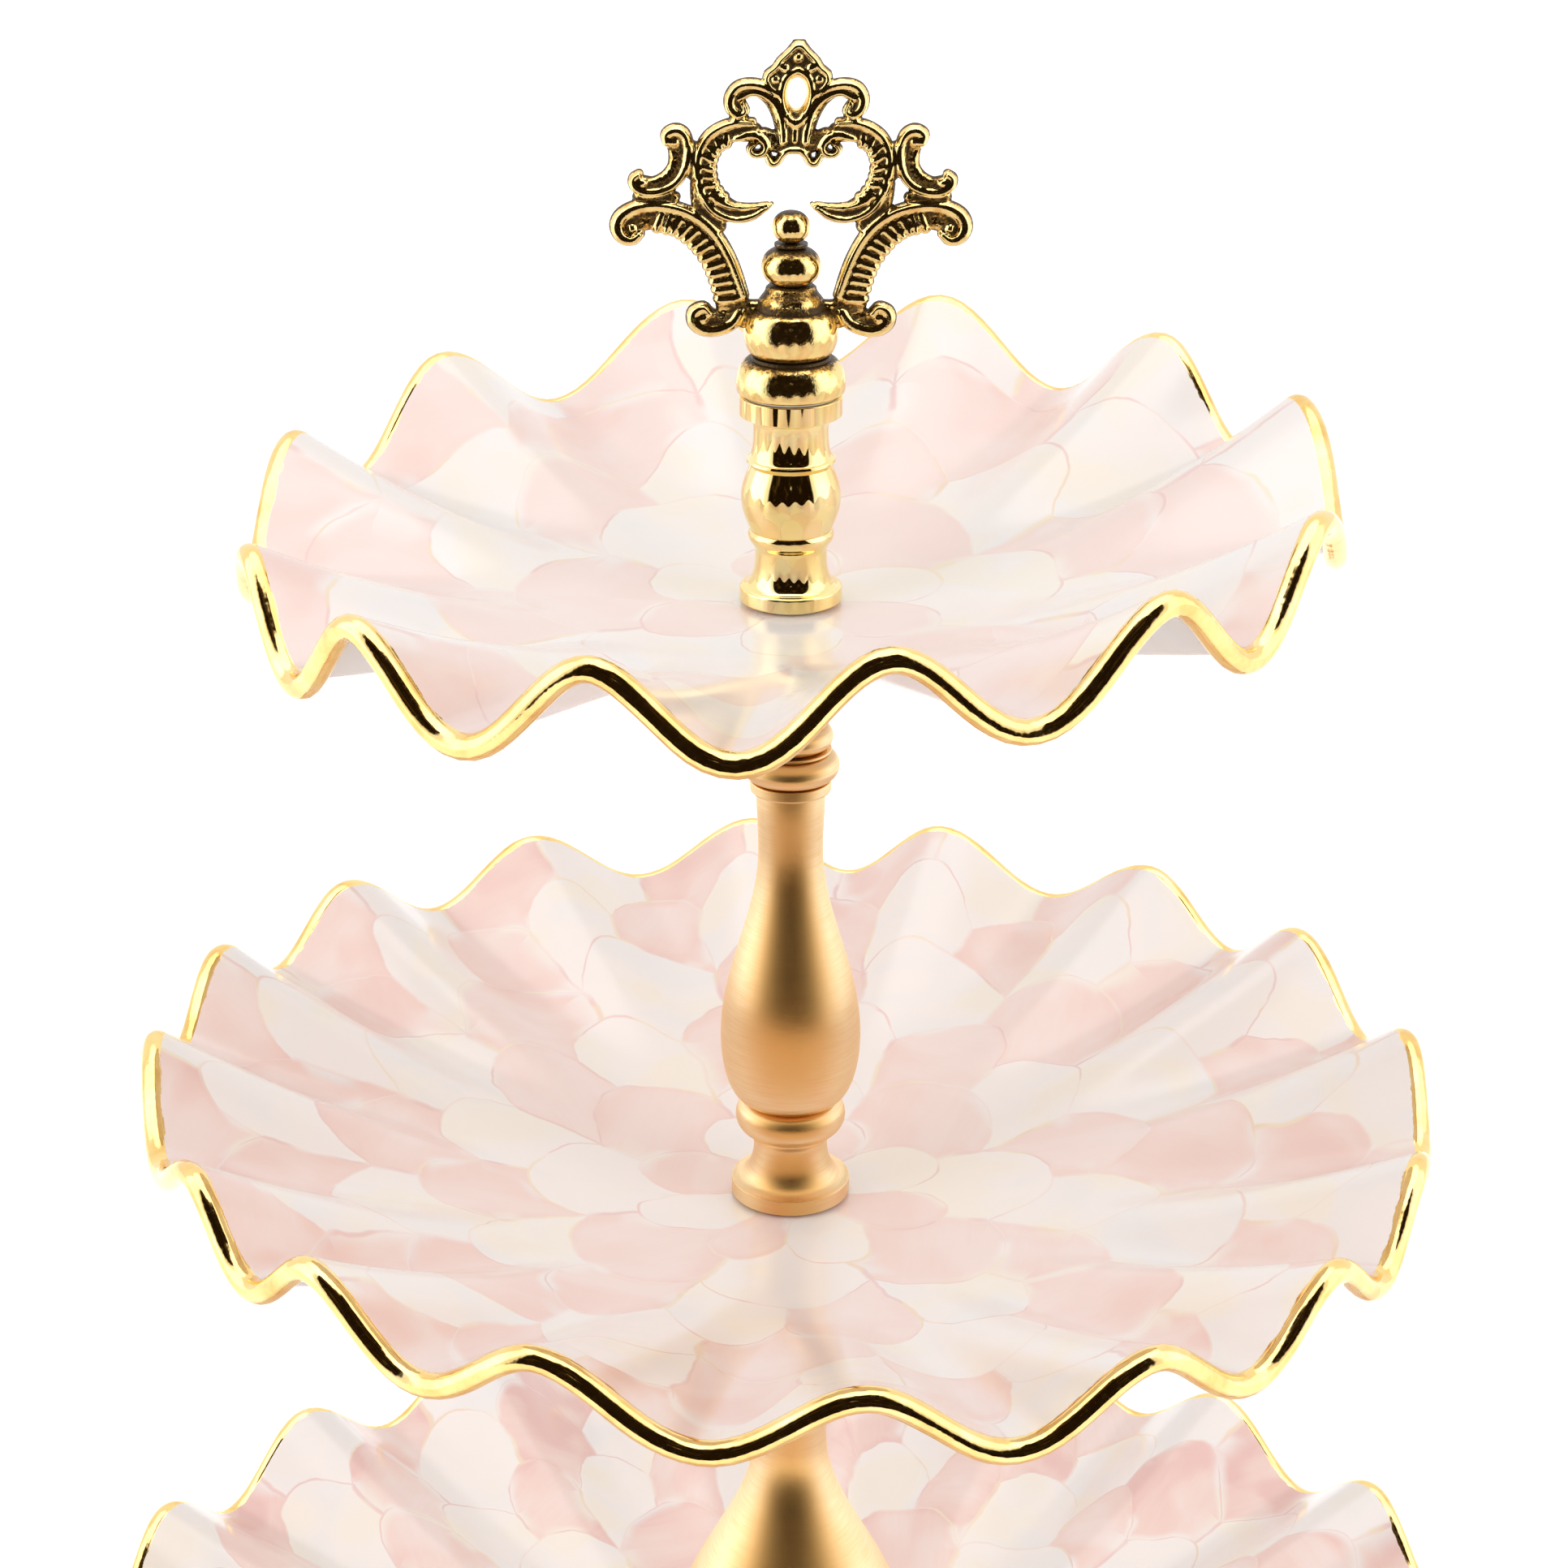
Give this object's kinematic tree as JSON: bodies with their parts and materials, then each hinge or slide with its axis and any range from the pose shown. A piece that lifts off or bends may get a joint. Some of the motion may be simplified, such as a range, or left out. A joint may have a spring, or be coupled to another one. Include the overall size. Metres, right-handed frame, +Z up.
{
  "type": "tiered cake stand",
  "caption": "Tiered cake stand: ruffled enamelled plates with rolled metal rims on turned brass stems and a round foot, under a cast openwork carrying handle.",
  "frame": {"origin": "on the table under the middle of the foot", "axes": "+Z up; the flat of the openwork handle faces -Y and +Y; +X to the right of a person who faces the handle"},
  "size_m": [0.4067, 0.4068, 0.5175],
  "materials": {
    "brushed_brass": "turned and brushed round, satin lacquer",
    "polished_brass": "mirror polished",
    "antique_brass": "cast, polished on the high spots, dark patina in the hollows",
    "polished_gold": "mirror polished rolled rim",
    "enamelled_steel": "glossy hand-painted vitreous enamel",
    "zinc_steel": "zinc plated",
    "clear_washer": "natural nylon",
    "felt": "pressed felt"
  },
  "bodies": {
    "column": {"foot": "brushed_brass", "foot_felt": "felt", "foot_washer": "zinc_steel", "foot_nut": "zinc_steel", "lower_tie_rod": "zinc_steel", "bottom_plate_lower_washer": "clear_washer", "bottom_plate_upper_washer": "clear_washer", "middle_plate_lower_washer": "clear_washer", "middle_plate_upper_washer": "clear_washer", "top_plate_lower_washer": "clear_washer", "top_plate_upper_washer": "clear_washer", "lower_stem_base": "brushed_brass", "lower_stem_vase": "brushed_brass", "lower_stem_collar": "brushed_brass", "upper_tie_rod": "zinc_steel", "upper_stem_base": "brushed_brass", "upper_stem_vase": "brushed_brass", "upper_stem_collar": "brushed_brass", "top_stud": "zinc_steel", "top_post": "polished_brass"},
    "bottom_tier": {"bottom_plate": "enamelled_steel", "bottom_rim": "polished_gold"},
    "middle_tier": {"middle_plate": "enamelled_steel", "middle_rim": "polished_gold"},
    "top_tier": {"top_plate": "enamelled_steel", "top_rim": "polished_gold"},
    "finial_seat": {"finial_washer": "clear_washer"},
    "finial": {"finial_crown": "antique_brass", "finial_stud": "zinc_steel"}
  },
  "joints": [
    {"name": "bottom_tier_turn", "type": "hinge", "parent": "column", "child": "bottom_tier", "pos_m": [0, 0, 0.034], "axis": [0, 0, 1], "continuous": true},
    {"name": "middle_tier_turn", "type": "hinge", "parent": "column", "child": "middle_tier", "pos_m": [0, 0, 0.223], "axis": [0, 0, 1], "continuous": true},
    {"name": "top_tier_turn", "type": "hinge", "parent": "column", "child": "top_tier", "pos_m": [0, 0, 0.383], "axis": [0, 0, 1], "continuous": true},
    {"name": "finial_turn", "type": "hinge", "parent": "column", "child": "finial_seat", "pos_m": [0, 0, 0.433], "axis": [0, 0, 1], "range_deg": [0, 2880]},
    {"name": "finial_lift", "type": "slide", "parent": "finial_seat", "child": "finial", "axis": [0, 0, 1], "range_m": [0, 0.0081]}
  ],
  "couplings": [
    {"joint": "finial_lift", "follows": "finial_turn", "m_per_rad": 0.00015915}
  ]
}
